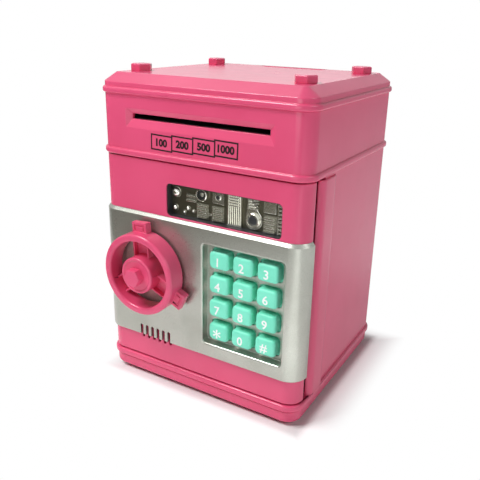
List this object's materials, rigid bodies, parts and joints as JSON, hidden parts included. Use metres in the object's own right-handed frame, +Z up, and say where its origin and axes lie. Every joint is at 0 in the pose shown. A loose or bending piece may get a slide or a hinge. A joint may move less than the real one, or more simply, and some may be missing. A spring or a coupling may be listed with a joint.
{
  "type": "toy safe coin bank",
  "caption": "Toy safe bank: a pink moulded cabinet with a hinged keypad door, a latch handwheel, a powered bill slot and a coin slot in its bolted roof.",
  "frame": {"origin": "on the table, under the middle of the whole object's box", "axes": "+Z up, the door faces -Y, and +X is the hinge side"},
  "size_m": [0.133, 0.1402, 0.1872],
  "materials": {
    "pink_plastic": "glossy moulded plastic",
    "silver_plastic": "satin silver paint on moulded plastic",
    "antique_silver": "aged metallic finish on a moulded relief",
    "teal_rubber": "satin key caps with printed digits",
    "dark_plastic": "fine satin",
    "black_rubber": "matt",
    "steel": "zinc-plated",
    "cell_jacket": "printed film jacket",
    "circuit_board": "solder mask",
    "white_nylon": "moulded"
  },
  "bodies": {
    "cabinet": {"cabinet_shell": "pink_plastic", "head_shell": "pink_plastic", "roof": "pink_plastic", "roof_bolts": "pink_plastic", "feet": "black_rubber", "battery_box": "dark_plastic", "battery_cover": "pink_plastic", "battery_screw": "steel", "batteries": "cell_jacket", "battery_springs": "steel", "battery_contacts": "steel", "compartment_floor": "dark_plastic", "floor_screws": "steel", "latch_keeper": "steel", "hinge_pins": "steel", "feed_deck": "dark_plastic", "deck_screws": "steel", "bill_guide_lower": "dark_plastic", "bill_guide_upper": "dark_plastic", "feed_brackets": "steel", "coin_chute": "dark_plastic", "feed_motor": "steel", "feed_board": "circuit_board", "bill_sensor": "dark_plastic"},
    "drive_roller": {"drive_shaft": "steel", "drive_tyres": "black_rubber", "drive_gear": "white_nylon"},
    "idler_roller": {"idler_shaft": "steel", "idler_tyres": "black_rubber"},
    "motor_rotor": {"motor_shaft": "steel", "motor_pinion": "white_nylon"},
    "door": {"door_shell": "pink_plastic", "door_back": "pink_plastic", "door_screws": "steel", "fascia": "silver_plastic", "relief_plate": "antique_silver", "key_mat": "black_rubber", "keypad_board": "circuit_board", "speaker": "dark_plastic", "lock_solenoid": "steel"},
    "wheel": {"handwheel": "pink_plastic", "hub_bolt": "pink_plastic", "wheel_shaft": "steel", "lock_disc": "steel", "latch_cam": "steel", "cam_screw": "steel"},
    "lock_pin": {"lock_plunger": "steel", "plunger_spring": "steel"},
    "key_1_cap": {"key_1": "teal_rubber"},
    "key_2_cap": {"key_2": "teal_rubber"},
    "key_3_cap": {"key_3": "teal_rubber"},
    "key_4_cap": {"key_4": "teal_rubber"},
    "key_5_cap": {"key_5": "teal_rubber"},
    "key_6_cap": {"key_6": "teal_rubber"},
    "key_7_cap": {"key_7": "teal_rubber"},
    "key_8_cap": {"key_8": "teal_rubber"},
    "key_9_cap": {"key_9": "teal_rubber"},
    "key_star_cap": {"key_star": "teal_rubber"},
    "key_0_cap": {"key_0": "teal_rubber"},
    "key_hash_cap": {"key_hash": "teal_rubber"}
  },
  "joints": [
    {"name": "door_hinge", "type": "hinge", "parent": "cabinet", "child": "door", "pos_m": [0.061, -0.04265, 0.07652], "axis": [0, 0, 1], "range_deg": [0, 100]},
    {"name": "wheel_turn", "type": "hinge", "parent": "door", "child": "wheel", "pos_m": [-0.0307, -0.05125, 0.07415], "axis": [0, 1, 0], "range_deg": [0, 90]},
    {"name": "lock_push", "type": "slide", "parent": "door", "child": "lock_pin", "axis": [0, 0, -1], "range_m": [0, 0.003], "stiffness_N_per_m": 100, "deforming": ["plunger_spring"]},
    {"name": "drive_spin", "type": "hinge", "parent": "cabinet", "child": "drive_roller", "pos_m": [0, -0.03525, 0.1545], "axis": [1, 0, 0], "continuous": true},
    {"name": "idler_spin", "type": "hinge", "parent": "cabinet", "child": "idler_roller", "pos_m": [0, -0.03525, 0.1648], "axis": [1, 0, 0], "continuous": true},
    {"name": "motor_spin", "type": "hinge", "parent": "cabinet", "child": "motor_rotor", "pos_m": [0, -0.02135, 0.1502], "axis": [1, 0, 0], "continuous": true},
    {"name": "key_1_press", "type": "slide", "parent": "door", "child": "key_1_cap", "axis": [0, 1, 0], "range_m": [0, 0.0012], "stiffness_N_per_m": 300},
    {"name": "key_2_press", "type": "slide", "parent": "door", "child": "key_2_cap", "axis": [0, 1, 0], "range_m": [0, 0.0012], "stiffness_N_per_m": 300},
    {"name": "key_3_press", "type": "slide", "parent": "door", "child": "key_3_cap", "axis": [0, 1, 0], "range_m": [0, 0.0012], "stiffness_N_per_m": 300},
    {"name": "key_4_press", "type": "slide", "parent": "door", "child": "key_4_cap", "axis": [0, 1, 0], "range_m": [0, 0.0012], "stiffness_N_per_m": 300},
    {"name": "key_5_press", "type": "slide", "parent": "door", "child": "key_5_cap", "axis": [0, 1, 0], "range_m": [0, 0.0012], "stiffness_N_per_m": 300},
    {"name": "key_6_press", "type": "slide", "parent": "door", "child": "key_6_cap", "axis": [0, 1, 0], "range_m": [0, 0.0012], "stiffness_N_per_m": 300},
    {"name": "key_7_press", "type": "slide", "parent": "door", "child": "key_7_cap", "axis": [0, 1, 0], "range_m": [0, 0.0012], "stiffness_N_per_m": 300},
    {"name": "key_8_press", "type": "slide", "parent": "door", "child": "key_8_cap", "axis": [0, 1, 0], "range_m": [0, 0.0012], "stiffness_N_per_m": 300},
    {"name": "key_9_press", "type": "slide", "parent": "door", "child": "key_9_cap", "axis": [0, 1, 0], "range_m": [0, 0.0012], "stiffness_N_per_m": 300},
    {"name": "key_star_press", "type": "slide", "parent": "door", "child": "key_star_cap", "axis": [0, 1, 0], "range_m": [0, 0.0012], "stiffness_N_per_m": 300},
    {"name": "key_0_press", "type": "slide", "parent": "door", "child": "key_0_cap", "axis": [0, 1, 0], "range_m": [0, 0.0012], "stiffness_N_per_m": 300},
    {"name": "key_hash_press", "type": "slide", "parent": "door", "child": "key_hash_cap", "axis": [0, 1, 0], "range_m": [0, 0.0012], "stiffness_N_per_m": 300}
  ],
  "couplings": [
    {"joint": "motor_spin", "follows": "drive_spin", "ratio": -2},
    {"joint": "idler_spin", "follows": "drive_spin", "ratio": -1.5}
  ]
}
